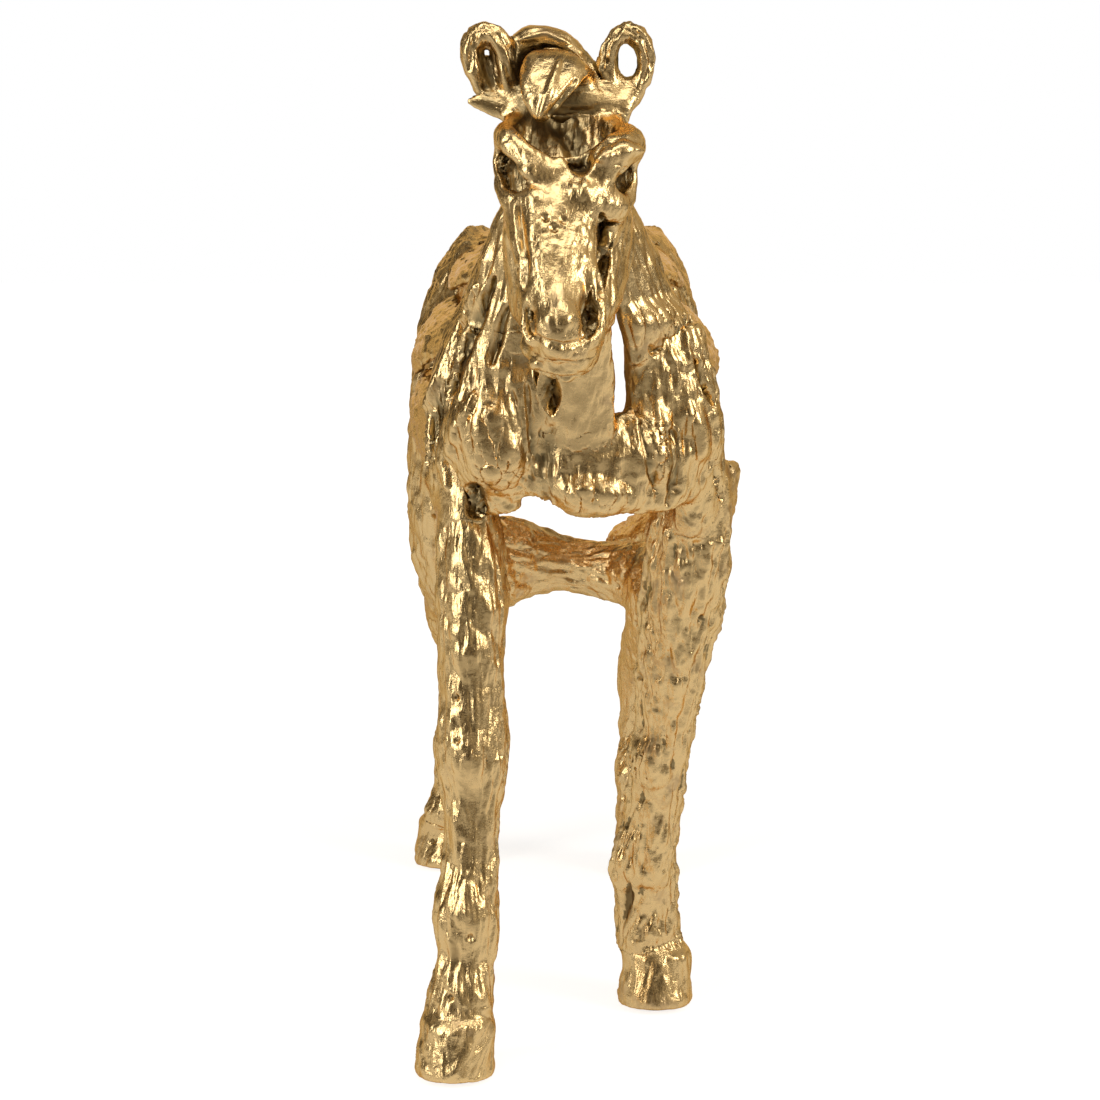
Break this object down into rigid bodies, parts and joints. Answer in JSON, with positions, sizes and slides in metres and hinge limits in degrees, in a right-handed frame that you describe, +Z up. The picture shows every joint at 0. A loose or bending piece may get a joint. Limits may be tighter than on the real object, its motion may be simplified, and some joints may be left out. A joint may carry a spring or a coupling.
{
  "type": "horse statue",
  "caption": "Free-standing openwork statue of a walking horse, built from pinned cast strips and shells over a hidden steel armature and finished in gold leaf.",
  "frame": {"origin": "on the ground under the middle of the bounding box", "axes": "+Z up, the horse faces -Y, its own right side is at -X"},
  "size_m": [0.1996, 0.6202, 0.56],
  "materials": {
    "gold_leaf": "imitation gold leaf over cast resin, burnished on the ridges and amber in the hollows",
    "steel": "plain drawn steel rod",
    "felt": "dark felt disc"
  },
  "bodies": {
    "root": {"skull": "gold_leaf", "lower_jaw": "gold_leaf", "right_cheek": "gold_leaf", "left_cheek": "gold_leaf", "right_ear": "gold_leaf", "left_ear": "gold_leaf", "poll": "gold_leaf", "forelock": "gold_leaf", "crest_lock": "gold_leaf", "mane_flake": "gold_leaf", "neck_crest": "gold_leaf", "mane_locks": "gold_leaf", "neck_right_strap": "gold_leaf", "neck_left_strap": "gold_leaf", "right_neck_side": "gold_leaf", "left_neck_side": "gold_leaf", "throat_strap": "gold_leaf", "chest": "gold_leaf", "right_shoulder": "gold_leaf", "left_shoulder": "gold_leaf", "back_strap": "gold_leaf", "croup": "gold_leaf", "right_back_rib": "gold_leaf", "right_upper_rib": "gold_leaf", "right_lower_rib": "gold_leaf", "right_flank_strap": "gold_leaf", "left_back_rib": "gold_leaf", "left_upper_rib": "gold_leaf", "left_lower_rib": "gold_leaf", "left_flank_strap": "gold_leaf", "right_haunch": "gold_leaf", "left_haunch": "gold_leaf", "hind_yoke": "gold_leaf", "tail": "gold_leaf", "right_foreleg": "gold_leaf", "left_foreleg": "gold_leaf", "right_hindleg": "gold_leaf", "left_hindleg": "gold_leaf", "right_fore_hoof": "gold_leaf", "left_fore_hoof": "gold_leaf", "right_hind_hoof": "gold_leaf", "left_hind_hoof": "gold_leaf", "hoof_pads": "felt", "right_fore_rod": "steel", "left_fore_rod": "steel", "right_hind_rods": "steel", "left_hind_rods": "steel", "spine_rod": "steel", "neck_rod": "steel", "tail_pin": "steel", "strap_dowels": "steel", "head_pins": "steel"}
  },
  "joints": []
}
